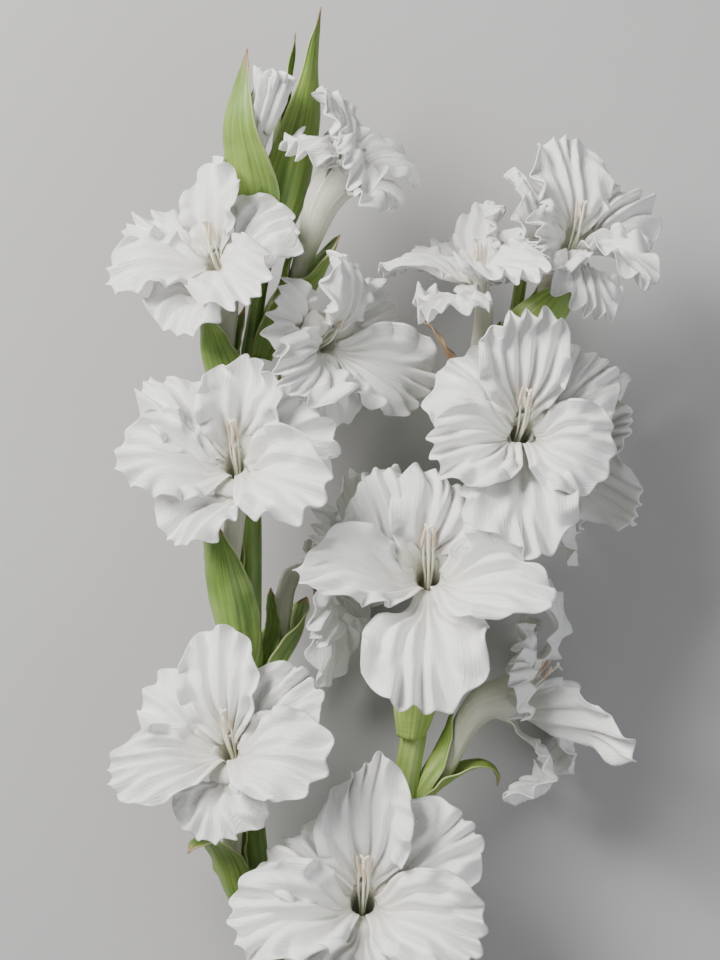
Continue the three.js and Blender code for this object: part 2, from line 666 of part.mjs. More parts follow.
// A bract is a pointed boat-shaped leaf round one side of a tube, whose radius at a distance along it is
// given by radiusAt. length is in millimetres, facing, wrap and curl are in degrees.
function bract({ spine, outward, radiusAt }, { facing, wrap, off, belly, length, curl, columns }) {
  const towards = spine.angleAtStart(outward) + radians(facing);
  const line = bractMiddle(radiusAt, length, curl);
  const points = [];
  const faces = [];
  let below = [];
  for (const share of BRACT_ROWS) {
    const { along, lift, radius } = line[Math.round(share * SAMPLES)];
    const half = (radians(wrap) * (1 - share ** 2.4) * (radius + off)) / (radius + off + lift);
    const flat = Math.cos(half / columns); // a facet's middle is this much nearer than its corners
    const reach = (radius + off) / flat + lift + belly * Math.sin(Math.PI * share);
    const row = [];
    for (let c = 0; c <= columns; c++) {
      if (share === 1 && c > 0) {
        row.push(row[0]);
        continue;
      }
      const angle = towards + half * ((2 * c) / columns - 1);
      row.push(points.length);
      points.push(spine.at(reach * Math.cos(angle), reach * Math.sin(angle), along));
    }
    for (let c = 0; c < columns && below.length; c++) {
      const face = [below[c], below[c + 1], row[c + 1], row[c]];
      faces.push(share === 1 ? face.slice(0, 3) : face);
    }
    below = row;
  }
  return shell(points, faces, BRACT_THICKNESS);
}

// A floret's bract reaches no further than its throat.
function floretBract(floret, usual, special) {
  const shape = { ...usual, ...special };
  const length = Math.min(BRACT_LENGTH * shape.length, floret.spine.length * BRACT_TUBE_SHARE);
  return bract(floret, { ...shape, length });
}

// ---------------------------------------------------------------- bud
function budPetals({ spine, radiusAt }) {
  const outline = [[0, 0]];
  for (const [share] of BUD_OUTLINE) outline.push([radiusAt(share * spine.length), share * spine.length]);
  outline.push([0, spine.length]);
  return turned(outline, 10, spine);
}

// ---------------------------------------------------------------- assembly
const material = (color, roughness) =>
  new THREE.MeshStandardMaterial({ color, roughness, metalness: 0, side: THREE.DoubleSide });
const materials = {
  petal: material(0xf4f4ec, 0.55),
  stamen: material(0xe3cdb4, 0.7),
  bract: material(0x7fa83a, 0.5),
  stem: material(0x6f9c34, 0.5),
};

const bunch = new THREE.Group();
function add(name, geometry, made) {
  const mesh = new THREE.Mesh(geometry, made);
  mesh.name = name;
  bunch.add(mesh);
}

for (const [name, spine] of Object.entries(stems)) {
  const rings = spine.points.map((_, i) => [stemRadius(i), spine.reached[i]]).filter((_, i) => i % 2 === 0);
  add(`${name}_stem`, turned([[0, 0], ...rings, [0, spine.length]], 10, spine), materials.stem);
}
for (const floret of florets) {
  add(`${floret.name}_perianth`, perianth(floret), materials.petal);
  add(`${floret.name}_stamens_and_style`, stamensAndStyle(floret), materials.stamen);
  add(`${floret.name}_outer_bract`, floretBract(floret, OUTER_BRACT, floret.outer), materials.bract);
  add(`${floret.name}_inner_bract`, floretBract(floret, INNER_BRACT, floret.inner), materials.bract);
}
add("left_bud_petals", budPetals(bud), materials.petal);
add("left_bud_outer_bract",
  bract(bud, { ...OUTER_BRACT, facing: 25, length: BUD.outerLength * UNIT }), materials.bract);
add("left_bud_inner_bract",
  bract(bud, { ...INNER_BRACT, facing: 225, length: BUD.innerLength * UNIT }), materials.bract);
add("left_tip_outer_bract",
  bract(spear, { ...OUTER_BRACT, belly: 0, curl: 0, length: SPEAR.outerLength * UNIT }), materials.bract);
add("left_tip_inner_bract",
  bract(spear, { ...INNER_BRACT, length: SPEAR.innerLength * UNIT }), materials.bract);

// the origin under the middle of the bunch, on the surface
const box = new THREE.Box3().setFromObject(bunch, true);
const middle = box.getCenter(new THREE.Vector3());
bunch.position.set(-middle.x, -middle.y, -box.min.z);

export default bunch;
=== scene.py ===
# %% [markdown]
# # Cut gladioli
# Two flowering stems lie side by side, with thirteen ruffled white florets, their green bracts, a bud and a
# closed tip. The CAD frame gives every piece as a coarse closed solid. This lesson measures those solids,
# stretches a fine surface over each of them and then ruffles, veins and colours it.

# %% The frame
import math

import bmesh
import bpy
import numpy as np
from mathutils import Matrix, Vector


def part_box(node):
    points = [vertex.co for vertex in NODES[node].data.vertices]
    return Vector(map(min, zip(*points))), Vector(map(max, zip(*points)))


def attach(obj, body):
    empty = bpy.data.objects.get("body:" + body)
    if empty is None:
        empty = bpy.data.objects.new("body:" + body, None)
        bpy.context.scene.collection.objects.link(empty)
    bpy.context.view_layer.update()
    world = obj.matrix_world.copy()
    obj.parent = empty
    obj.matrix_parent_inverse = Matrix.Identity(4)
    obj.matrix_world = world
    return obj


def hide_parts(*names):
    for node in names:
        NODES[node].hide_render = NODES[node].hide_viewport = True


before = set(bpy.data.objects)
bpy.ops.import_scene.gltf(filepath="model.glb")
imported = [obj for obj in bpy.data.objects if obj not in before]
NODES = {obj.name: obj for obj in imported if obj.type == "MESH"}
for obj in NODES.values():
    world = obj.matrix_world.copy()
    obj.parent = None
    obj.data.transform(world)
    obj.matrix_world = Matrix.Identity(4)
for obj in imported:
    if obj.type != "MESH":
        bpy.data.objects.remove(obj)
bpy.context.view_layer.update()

MM = 0.001

# %% [markdown]
# ## The camera, the floor and the light
# A cut bunch lies down, so the camera looks straight down on it from a little over a metre. It aims at the
# flowering heads, and the bare stalks run out of view below. The floor is plain and pale. A large soft
# light stands on the left beyond the tips, a weaker one faces it, and a pale world fills the shadows.

# %% The camera, the floor and the light
OPEN = sorted(name.removesuffix("_perianth") for name in NODES if name.endswith("_perianth"))
CAMERA_HEIGHT = 1.1
LENS = 82
AIM_RIGHT = -0.0125  # of the middle of the open florets
AIM_UP = 0.045
WINDOW_WATTS = 54
FILL_WATTS = 11
WORLD_STRENGTH = 0.27

corners = np.array([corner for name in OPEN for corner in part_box(name + "_perianth")])
middle = (corners.min(0) + corners.max(0)) / 2
camera = bpy.data.objects.new("camera", bpy.data.cameras.new("camera"))
bpy.context.scene.collection.objects.link(camera)
camera.location = (middle[0] + AIM_RIGHT, middle[1] + AIM_UP, CAMERA_HEIGHT)
camera.data.lens = LENS
bpy.context.scene.camera = camera


def soft_light(name, place, size, watts, colour):
    light = bpy.data.objects.new(name, bpy.data.lights.new(name, "AREA"))
    bpy.context.scene.collection.objects.link(light)
    light.location = place
    ray = Vector((middle[0], middle[1], 0)) - Vector(place)
    light.rotation_euler = ray.to_track_quat("-Z", "Y").to_euler()
    light.data.size = size
    light.data.energy = watts
    light.data.color = colour
    return light


soft_light("window", (-0.95, 0.95, 1.05), 0.8, WINDOW_WATTS, (1.0, 0.98, 0.945))
soft_light("fill", (1.2, -0.5, 1.3), 1.4, FILL_WATTS, (0.93, 0.96, 1.0))
world = bpy.data.worlds.new("studio")
world.use_nodes = True
world.node_tree.nodes["Background"].inputs["Color"].default_value = (0.92, 0.92, 0.92, 1)
world.node_tree.nodes["Background"].inputs["Strength"].default_value = WORLD_STRENGTH
bpy.context.scene.world = world
print("camera over", [round(float(x), 3) for x in camera.location])

# %% [markdown]
# ## Shader maths as Python
# A material is a small graph of nodes. Written as plain expressions it reads like the formula it is, so one
# class wraps a socket, and adding or multiplying two of them adds the Math node that does it.

# %% A socket that does arithmetic
class Value:
    """An output socket that holds a number."""

    def __init__(self, tree, socket):
        self.tree = tree
        self.socket = socket

    def math(self, operation, *others, swap=False):
        node = self.tree.nodes.new("ShaderNodeMath")
        node.operation = operation
        values = [self, *others]
        if swap:
            values.reverse()
        for place, value in zip(node.inputs, values):
            plug(self.tree, place, value)
        return Value(self.tree, node.outputs[0])

    def __add__(self, other):
        return self.math("ADD", other)

    def __sub__(self, other):
        return self.math("SUBTRACT", other)

    def __rsub__(self, other):
        return self.math("SUBTRACT", other, swap=True)

    def __mul__(self, other):
        return self.math("MULTIPLY", other)

    __radd__ = __add__
    __rmul__ = __mul__

    def step(self, start, end):
        """0 before start, 1 after end and smooth between them."""
        node = self.tree.nodes.new("ShaderNodeMapRange")
        node.interpolation_type = "SMOOTHSTEP"
        for name, value in (("Value", self), ("From Min", start), ("From Max", end)):
            plug(self.tree, node.inputs[name], value)
        return Value(self.tree, node.outputs["Result"])


def plug(tree, place, value):
    if isinstance(value, Value):
        tree.links.new(value.socket, place)
    else:
        place.default_value = value


class Finish:
    """A material with one Principled shader, and the nodes that feed it."""

    def __init__(self, name, **constants):
        self.material = bpy.data.materials.new(name)
        self.material.use_nodes = True
        self.tree = self.material.node_tree
        self.shader = self.tree.nodes["Principled BSDF"]
        for socket, value in constants.items():
            self.shader.inputs[socket.replace("_", " ").title().replace("Ior", "IOR")].default_value = value

    def node(self, kind, settings=None, output=0, **sockets):
        node = self.tree.nodes.new("ShaderNode" + kind)
        for name, value in (settings or {}).items():
            setattr(node, name, value)
        for name, value in sockets.items():
            plug(self.tree, node.inputs[name.replace("_", " ").title()], value)
        return Value(self.tree, node.outputs[output])

    def uv(self):
        """The two coordinates of the piece's own UV map: across and along."""
        split = self.tree.nodes.new("ShaderNodeSeparateXYZ")
        self.tree.links.new(self.node("UVMap").socket, split.inputs[0])
        return Value(self.tree, split.outputs["X"]), Value(self.tree, split.outputs["Y"])

    def vector(self, x, y, z):
        return self.node("CombineXYZ", x=x, y=y, z=z)

    def place(self):
        """A point's place on the finished piece, in metres."""
        return self.node("TexCoord", output=3)

    def noise(self, vector, scale, detail=2.0, roughness=0.5):
        return self.node("TexNoise", vector=vector, scale=scale, detail=detail, roughness=roughness)

    def mix(self, share, first, second):
        node = self.tree.nodes.new("ShaderNodeMix")
        node.data_type = "RGBA"
        for place, value in ((node.inputs[0], share), (node.inputs[6], first), (node.inputs[7], second)):
            plug(self.tree, place, value)
        return Value(self.tree, node.outputs[2])

    def bump(self, height, distance, strength=1.0):
        """height is in shares of distance, which is in metres."""
        normal = self.node("Bump", height=height, distance=distance, strength=strength)
        plug(self.tree, self.shader.inputs["Normal"], normal)

    def feed(self, **sockets):
        for name, value in sockets.items():
            plug(self.tree, self.shader.inputs[name.replace("_", " ").title()], value)


def stage_floor():
    floor_finish = Finish("floor", roughness=0.8)
    mottle = floor_finish.noise(floor_finish.place(), 3.0)
    floor_finish.feed(base_color=floor_finish.mix(mottle, (0.42, 0.415, 0.42, 1), (0.45, 0.445, 0.45, 1)))
    bm = bmesh.new()
    bmesh.ops.create_grid(bm, x_segments=1, y_segments=1, size=4)
    floor = bpy.data.objects.new("floor", bpy.data.meshes.new("floor"))
    bm.to_mesh(floor.data)
    bm.free()
    floor.data.materials.append(floor_finish.material)
    bpy.context.scene.collection.objects.link(floor)


stage_floor()

# %% [markdown]
# ## Reading the CAD solids
# A CAD petal or bract is a sheet of triangles given a thickness: two faces and a narrow rim. Cutting away the
# rim leaves the two faces, and halfway between them is the sheet that the fine surface has to follow. Its
# corners lie in rows. Counting steps from the one corner where all the rows start sorts them, whatever order
# the triangles come in.

# %% The two faces of a sheet
TEPAL_THICKNESS = 1.2 * MM  # of the CAD petals
BRACT_THICKNESS = 1.1 * MM  # of the CAD bracts
SAME = 0.01 * MM


def merged(node):
    bm = bmesh.new()
    bm.from_mesh(NODES[node].data)
    bmesh.ops.remove_doubles(bm, verts=bm.verts[:], dist=SAME / 4)
    bm.verts.index_update()
    return bm


def links_of(bm):
    """Each corner's neighbours."""
    return {v.index: {e.other_vert(v).index for e in v.link_edges} for v in bm.verts}


def faces_of(node, thickness):
    """The corners of a sheet's solid, and the neighbours on each of its two faces."""
    bm = merged(node)
    corners = np.array([v.co for v in bm.verts])
    normals = np.zeros_like(corners)
    for face in bm.faces:
        for v in face.verts:
            normals[v.index] += np.array(face.normal) * face.calc_area()
    normals /= np.linalg.norm(normals, axis=1)[:, None]
    twins = []
    for edge in bm.edges:
        a, b = (v.index for v in edge.verts)
        across = corners[b] - corners[a]
        if abs(np.linalg.norm(across) - thickness) < SAME:
            twins.append((abs(across @ normals[a]) + abs(across @ normals[b]), a, b, edge))
    rim, paired = set(), set()
    for upright, a, b, edge in sorted(twins, key=lambda twin: -twin[0]):
        if upright > 0.8 * thickness and not {a, b} & paired:
            paired |= {a, b}
            rim.update(edge.link_faces)
    for face in rim:
        bm.faces.remove(face)
    for edge in [e for e in bm.edges if not e.link_faces]:
        bm.edges.remove(edge)
    links = links_of(bm)
    bm.free()
    sides = []
    left = set(links)
    while left:
        side = {v for row in rows_from(min(left), links) for v in row}
        sides.append({v: links[v] for v in side})
        left -= side
    return corners, sides


def rows_from(start, links):
    """The corners by how many steps they are from the start."""
    rows = [[start]]
    seen = {start}
    while rows[-1]:
        reached = {n for v in rows[-1] for n in links[v]} - seen
        seen |= reached
        rows.append(sorted(reached))
    return rows[:-1]


def sorted_rows(links, counts):
    """The rows of one face, from the corner where they have these counts."""
    for start in links:
        rows = rows_from(start, links)
        if [len(row) for row in rows] == counts:
            return rows
    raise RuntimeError(f"no corner starts rows of {counts}")


def middle_sheet(node, thickness, counts):
    """The rows of corner numbers, the neighbours and the middle of the sheet at each corner."""
    corners, sides = faces_of(node, thickness)
    first, second = (sorted_rows(side, counts) for side in sides)
    centre = {}
    for near, far in zip(first, second):
        for v in near:
            twin = min(far, key=lambda w: np.linalg.norm(corners[w] - corners[v]))
            centre[v] = (corners[v] + corners[twin]) / 2
    return first, sides[0], centre


# %% [markdown]
# ### A floret's solid
# From the closed foot of the tube come five rings of eighteen corners, and then four rows across each of the
# six lobes. Each lobe is sorted into one strip from the foot to its margin, four corners wide.

# %% The strips of a floret
LOBES = 6
COLUMNS = 3  # facets across a CAD lobe
AROUND = LOBES * COLUMNS
TUBE_RINGS = 5
LIMB_ROWS = 4
FLORET_ROWS = [1] + [AROUND] * TUBE_RINGS + [LOBES * (COLUMNS + 1)] * LIMB_ROWS


def unit(v):
    return v / np.linalg.norm(v, axis=-1, keepdims=True)


class Floret:
    """What the CAD solid of an open floret says of its shape."""

    def __init__(self, name):
        self.name = name
        rows, links, centre = middle_sheet(name + "_perianth", TEPAL_THICKNESS, FLORET_ROWS)
        rings, limb = rows[1:TUBE_RINGS + 1], rows[TUBE_RINGS + 1:]
        self.ring_centres = np.array([np.mean([centre[v] for v in ring], axis=0) for ring in rings])
        self.foot = centre[rows[0][0]]
        self.throat = self.ring_centres[-1]
        self.face = unit(self.throat - self.ring_centres[-2])
        self.up = unit(np.array([0, 1, 0]) - self.face[1] * self.face)
        self.right = np.cross(self.up, self.face)
        self.radius = np.mean([np.linalg.norm(centre[v] - self.throat) for v in rings[-1]])
        column = self.columns_of(rings, links, centre)
        tube = [{column[v]: centre[v] for v in ring} for ring in rings]
        lobes = self.lobes_of(limb, links, column)
        self.strips = np.empty((LOBES, len(rows), COLUMNS + 1, 3))
        for lobe in range(LOBES):
            self.strips[lobe, 0] = self.foot
            for j in range(COLUMNS + 1):
                for i, ring in enumerate(tube):
                    self.strips[lobe, 1 + i, j] = ring[(lobe * COLUMNS + j) % AROUND]
                for i in range(LIMB_ROWS):
                    self.strips[lobe, 1 + TUBE_RINGS + i, j] = centre[lobes[i][lobe, j]]

    def columns_of(self, rings, links, centre):
        """Each ring corner's number round the tube, where the top lobe starts at 0."""
        column = {}
        for v in rings[-1]:
            out = centre[v] - self.throat
            turn = math.atan2(out @ self.up, out @ self.right) / (2 * math.pi)
            column[v] = round((turn - 0.25) * AROUND + COLUMNS / 2) % AROUND
        for ring, above in zip(rings[-2::-1], rings[:0:-1]):
            for v in ring:
                joined = {column[w] for w in links[v] & set(above)}
                column[v] = next(c for c in joined if (c + 1) % AROUND in joined)
        return column

    def lobes_of(self, limb, links, column):
        """For each row of the limb, the corner of each lobe and column."""
        place = {}
        for v in limb[0]:
            below = {column[w] for w in links[v] & set(column)}
            first = next((c for c in below if (c + 1) % AROUND in below), None)
            if first is None:
                place[v] = (below.pop() // COLUMNS, 0)
            else:
                place[v] = (first // COLUMNS, first % COLUMNS + 1)
        for row, lower in zip(limb[1:], limb):
            for v in row:
                place[v] = max(place[w] for w in links[v] & set(lower))
        return [{place[v]: v for v in row} for row in limb]


florets = [Floret(name) for name in OPEN]
for floret in florets:
    print(floret.name, "throat", np.round(floret.throat, 3), "radius", round(floret.radius / MM, 1), "mm")

# %% [markdown]
# ## Smooth surfaces through the measured rows
# A Catmull-Rom curve passes through every measured point and never bends more sharply than it has to. Its
# weights are worked out once for each place, so that a whole strip of points is one matrix product.

# %% Curve weights
def smooth(x):
    x = np.clip(x, 0, 1)
    return x * x * (3 - 2 * x)


def curve_weights(knots, places):
    """How much each knot's point counts at each place, on a smooth curve through the points."""
    count = len(knots)
    gaps = np.diff(knots)
    slope = np.zeros((count, count))
    for i in range(count):
        before, after = max(i - 1, 0), min(i, count - 2)
        for gap, share in ((before, gaps[after]), (after, gaps[before])):
            weight = share / (gaps[before] + gaps[after]) / gaps[gap]
            slope[i, gap + 1] += weight
            slope[i, gap] -= weight
    i = np.clip(np.searchsorted(knots, places, side="right") - 1, 0, count - 2)
    gap = gaps[i][:, None]
    t = ((places - knots[i]) / gaps[i])[:, None]
    rows = np.eye(count)
    return (
        (2 * t**3 - 3 * t**2 + 1) * rows[i]
        + (3 * t**2 - 2 * t**3) * rows[i + 1]
        + (t**3 - 2 * t**2 + t) * gap * slope[i]
        + (t**3 - t**2) * gap * slope[i + 1]
    )


class Sheet:
    """A smooth surface through rows of points. Both of its coordinates run from 0 to 1."""

    def __init__(self, rows, along):
        self.rows = rows
        self.along = along
        self.across = np.linspace(0, 1, rows.shape[1])

    def at(self, across, along):
        w = curve_weights(self.along, along)
        c = curve_weights(self.across, across)
        return np.einsum("nr,nc,rcx->nx", w, c, self.rows)

    def front(self, across, along):
        """The direction that the sheet's inner side faces."""
        small = 0.01
        over = self.at(across + small, along) - self.at(across - small, along)
        on = self.at(across, along + small) - self.at(across, along - small)
        normal = np.cross(on, over)
        length = np.linalg.norm(normal, axis=1, keepdims=True)
        return normal / np.maximum(length, 1e-12)


class Wander:
    """A smooth wandering value between about -1 and 1, over two coordinates."""

    def __init__(self, draw, waves=5, low=0.8, high=2.6):
        turn = draw.uniform(0, 2 * math.pi, (2, waves))
        size = draw.uniform(low, high, waves) * 2
        self.ways = np.array([np.cos(turn[0]) * size, np.sin(turn[0]) * size])
        self.starts = turn[1]

    def at(self, x, y):
        phase = x[:, None] * self.ways[0] + y[:, None] * self.ways[1] + self.starts
        return np.sin(phase).sum(axis=1) / math.sqrt(len(self.starts)) / 1.2


# %% [markdown]
# ## A piece from a grid
# Petals, bracts and stems all start as a flat grid with a UV map. Its points move onto the finished shape, the
# edges that meet are welded, and a Solidify modifier gives the sheet its thickness.

# %% From grid to piece
def grid_mesh(name, columns, rows, count=1):
    """count grids of 2 by 2, one above another."""
    bm = bmesh.new()
    bm.loops.layers.uv.new("strip")
    for level in range(count):
        bmesh.ops.create_grid(
            bm, x_segments=columns, y_segments=rows, size=1,
            matrix=Matrix.Translation((0, 0, level)), calc_uvs=True)
    mesh = bpy.data.meshes.new(name)
    bm.to_mesh(mesh)
    bm.free()
    return mesh


def grid_places(mesh):
    """Across and along from 0 to 1, and the level, of each of the grid's points."""
    flat = np.empty(len(mesh.vertices) * 3)
    mesh.vertices.foreach_get("co", flat)
    x, y, z = flat.reshape(-1, 3).T
    return (x + 1) / 2, (y + 1) / 2, np.rint(z).astype(int)


def finished(mesh, points, finish, thickness=0.0, weld=1e-7, close=False):
    mesh.vertices.foreach_set("co", np.ascontiguousarray(points).ravel())
    bm = bmesh.new()
    bm.from_mesh(mesh)
    bmesh.ops.remove_doubles(bm, verts=bm.verts[:], dist=weld)
    if close:
        bmesh.ops.holes_fill(bm, edges=[e for e in bm.edges if e.is_boundary])
        bmesh.ops.recalc_face_normals(bm, faces=bm.faces[:])
    for face in bm.faces:
        face.smooth = True
    bm.to_mesh(mesh)
    bm.free()
    mesh.materials.append(finish.material)
    piece = bpy.data.objects.new(mesh.name, mesh)
    bpy.context.scene.collection.objects.link(piece)
    if thickness:
        solid = piece.modifiers.new("thickness", "SOLIDIFY")
        solid.thickness = thickness
        solid.offset = 0
    return piece


def settle_in(piece, slot, *nodes):
    """The piece rides with the bunch and stands for its CAD nodes, which are hidden. slot is not used."""
    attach(piece, "root")
    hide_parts(*nodes)
    return piece


# %% [markdown]
# ## Petal tissue
# A white petal isn't plain white: it is creamy and a little green down in the throat, faintly veined, and
# light passes into it, which the shader's subsurface share gives. The veins run up the petal, so they follow
# the UV map, and a fine crystalline grain follows the piece itself.

# %% Petal tissue
TUBE_PART = 0.24  # the share of a petal strip's length below the throat


def petal_finish():
    finish = Finish(
        "petal tissue", roughness=0.5, subsurface_weight=0.22, subsurface_scale=0.0016, sheen_weight=0.15)
    finish.shader.inputs["Subsurface Radius"].default_value = (1.0, 0.95, 0.8)
    across, along = finish.uv()
    veins = finish.noise(finish.vector(across * 46, along * 2.2, 0), 1.0, detail=3, roughness=0.6)
    fine = finish.noise(finish.vector(across * 150, along * 5, 2), 1.0, detail=1)
    grain = finish.noise(finish.place(), 2600)
    deep = 1 - along.step(TUBE_PART * 0.3, TUBE_PART * 1.35)
    cream = 1 - along.step(TUBE_PART * 0.8, 0.62)
    white = finish.mix(veins.step(0.35, 0.7), (0.93, 0.93, 0.915, 1), (0.97, 0.965, 0.945, 1))
    warm = finish.mix(cream * 0.85, white, (0.94, 0.93, 0.79, 1))
    finish.feed(base_color=finish.mix(deep * 0.7, warm, (0.88, 0.90, 0.6, 1)))
    finish.feed(roughness=0.46 + 0.12 * grain)
    finish.bump(veins * 0.6 + fine * 0.5 + grain * 0.08, 1.3 * MM, 0.85)
    return finish


PETAL = petal_finish()
print("made", PETAL.material.name)

# %% [markdown]
# ## The ruffled petals
# Each of a floret's six lobes runs from the foot of the tube to a frilled margin. The smooth strip comes from
# the CAD solid. What makes it a ruffled gladiolus is added along its normal: soft pleats that fan out from the
# throat like a curtain, a frill that grows towards the margin with a finer crimp on it, and a slow wander, a
# twist and a curl that make each lobe different. The inner three lobes lift forwards over the outer three,
# which fall back.

# %% Ruffles
PETAL_THICKNESS = 0.5 * MM
LOBE_CELLS = 52
STRIP_CELLS = 76
PLEAT = 2.4 * MM
FRILL = 3.2 * MM
CRIMP = 0.5 * MM
LIFT = 7.0 * MM
CURL = 7.5 * MM
FOLD = 4.0 * MM  # the lobes are channelled where they leave the throat
TWIST = 4.0 * MM
LAYER = 1.4 * MM  # between the inner lobes and the outer
CHOKE = 7.4 * MM  # the petals' bases close in round the stamens
SCALLOP = 0.02  # of a lobe's length
UNEVEN = 0.03  # of a lobe's length
WANDER = 3.0 * MM
MIDRIB = 1.1 * MM
FLARE = 0.16  # the folds are whole from this share of the limb on
FRILL_FROM = 0.55  # the frill starts here along a lobe
SIDE_FRILL_FROM = 0.5  # and here across it
FRILL_CENTRE = 0.42  # the frill runs round this point of the lobe
CRIMPS = 2.7  # crimps to a frill
CURL_FROM = 0.62
ROUND_CORNER = 0.12
LOWEST = 0.6 * MM
UNIT_THROAT = 12 * MM  # throat radius of a floret of full size


def hump(x, middle, width):
    return np.exp(-(((x - middle) / width) ** 2))


class Ruffle:
    """One lobe's own folds. q is 0 at the throat and 1 at the margin, and v is -1 to 1 across."""

    def __init__(self, draw, inner, gain):
        self.inner = 1 if inner else -1
        self.gain = gain * draw.uniform(0.85, 1.15)
        self.drift, self.loose, self.deep, self.uneven = (Wander(draw) for _ in range(4))
        self.phase = draw.uniform(0, 2 * math.pi, 4)
        self.pleats = draw.uniform(3.2, 5.2)
        self.frills = draw.uniform(13, 19)
        self.sides = draw.uniform(0.2, 1.1, 2)
        self.curl = draw.uniform(0.1, 1.1)
        self.twist = draw.uniform(-1, 1)

    def folds(self, q, v):
        bend = self.drift.at(q * 0.9, v * 0.9)
        spread = v * (1.5 - 0.5 * q)
        pleat = math.pi * self.pleats * spread + 1.6 * bend + self.phase[0]
        round_it = np.arctan2(0.62 * v, q - FRILL_CENTRE)
        frill = self.frills * round_it + 2.4 * bend + self.phase[1]
        return pleat, frill, bend

    def at(self, q, v):
        """How far each point stands off the smooth strip, and how far it is pulled along it."""
        pleat, frill, bend = self.folds(q, v)
        tip = smooth((q - FRILL_FROM) / (1 - FRILL_FROM))
        flank = smooth((np.abs(v) - SIDE_FRILL_FROM) / (1 - SIDE_FRILL_FROM)) * smooth((q - 0.18) / 0.35)
        edge = np.maximum(tip, flank)
        rise = smooth((q - 0.06) / 0.4)
        amount = 0.85 + 0.5 * self.loose.at(q * 1.4, v * 1.6)
        curtain = np.sin(pleat + 0.3 * np.sin(pleat)) * (0.8 + 0.4 * self.deep.at(q * 0.5, v * 2.2))
        wave = np.sin(frill + 0.1 * np.sin(frill))
        crimp = np.sin(CRIMPS * frill + 2 * bend + self.phase[2])
        sides = np.where(v < 0, self.sides[0], self.sides[1]) * self.inner
        off = self.gain * (
            PLEAT * curtain * rise * (1 - 0.35 * edge)
            + FRILL * wave * amount * edge**1.3
            + CRIMP * crimp * amount * edge**2
        )
        off = off + LIFT * sides * np.abs(v) ** 2.2 * smooth((q - 0.12) / 0.55)
        off = off + FOLD * (0.4 + self.sides.mean() * self.inner) * v**2 * hump(q, 0.2, 0.16)
        off = off - CURL * self.curl * smooth((q - CURL_FROM) / (1 - CURL_FROM)) ** 1.5
        off = off + TWIST * self.twist * v * smooth(q / 0.8) + WANDER * self.deep.at(q * 0.9, v * 0.8) * rise
        off = off + LAYER * self.inner * hump(q, 0.45, 0.3) - MIDRIB * hump(v, 0, 0.13) * hump(q, 0.35, 0.28)
        pull = SCALLOP * np.cos(frill) * edge + UNEVEN * self.uneven.at(v * 2.2, v * 0) * edge
        return off * smooth(q / FLARE), pull

    def margin(self, q, v):
        """Rounds the corners of a lobe."""
        reach = 1.04 - ROUND_CORNER * np.abs(v) ** 3.5
        tuck = 1 - 0.1 * smooth((q - 0.7) / 0.3) * np.abs(v)
        return q * (1 + (reach - 1) * q**2), v * tuck


# %% [markdown]
# ### One mesh for six lobes
# The six strips are six grids of one mesh. Below the throat their edges are welded into a tube.

# %% Petals of a floret
def lobe_sheet(strip, tube_lengths):
    """A lobe's measured strip, where the tube and the limb each have their share of the length."""
    limb = np.linalg.norm(np.diff(strip[TUBE_RINGS:], axis=0), axis=2).mean(axis=1)
    tube = np.concatenate([[0], np.cumsum(tube_lengths)]) / sum(tube_lengths)
    out = np.cumsum(limb) / limb.sum()
    return Sheet(strip, np.concatenate([tube * TUBE_PART, TUBE_PART + out * (1 - TUBE_PART)]))


def petals(floret, number):
    mesh = grid_mesh(floret.name + ".petals", LOBE_CELLS, STRIP_CELLS, LOBES)
    across, along, level = grid_places(mesh)
    points = np.empty((len(across), 3))
    tube = np.linalg.norm(np.diff([floret.foot, *floret.ring_centres], axis=0), axis=1)
    for lobe in range(LOBES):
        ruffle = Ruffle(np.random.default_rng(100 * number + lobe), lobe % 2 == 0, GAINS.get(floret.name, 1.0))
        sheet = lobe_sheet(floret.strips[lobe], tube)
        mine = level == lobe
        q = (along[mine] - TUBE_PART) / (1 - TUBE_PART)
        v = across[mine] * 2 - 1
        free = q > 0
        limb = np.clip(q, 0, 1)
        off, pull = ruffle.at(limb, v)
        out, over = ruffle.margin(limb, v)
        out = np.where(free, out + pull, q) * (1 - TUBE_PART) + TUBE_PART
        over = (np.where(free, over, v) + 1) / 2
        size = floret.radius / UNIT_THROAT
        close_in = CHOKES.get(floret.name, 1.0) * size * CHOKE * hump(q, 0.04, 0.13) * smooth((q + 0.3) / 0.2)
        points[mine] = sheet.at(over, out) + sheet.front(over, out) * (off + close_in)[:, None]
    weld_tube(points, along, across, level)
    low = points[:, 2] < LOWEST * 4
    points[low, 2] = LOWEST + 3 * LOWEST * np.exp(points[low, 2] / (3 * LOWEST) - 4 / 3)
    piece = finished(mesh, points, PETAL, PETAL_THICKNESS)
    return settle_in(piece, "petal", floret.name + "_perianth")


def weld_tube(points, along, across, level):
    """Below the throat the lobes are one tube, so the edges of neighbouring strips take the same places."""
    down = along <= TUBE_PART + 1e-6
    for lobe in range(LOBES):
        one = np.flatnonzero(down & (across > 1 - 1e-6) & (level == lobe))
        two = np.flatnonzero(down & (across < 1e-6) & (level == (lobe + 1) % LOBES))
        one = one[np.argsort(along[one])]
        two = two[np.argsort(along[two])]
        points[one] = points[two] = (points[one] + points[two]) / 2


GAINS = {"left_floret_6": 0.8, "right_floret_1": 1.45, "right_floret_3": 1.1, "right_floret_4": 0.8,
         "right_floret_5": 1.2}
CHOKES = {"left_floret_6": -0.6, "right_floret_7": 0.3, "right_floret_2": 0.2}
for number, floret in enumerate(florets):
    piece = petals(floret, number)
    print(piece.name, len(piece.data.polygons), "faces")

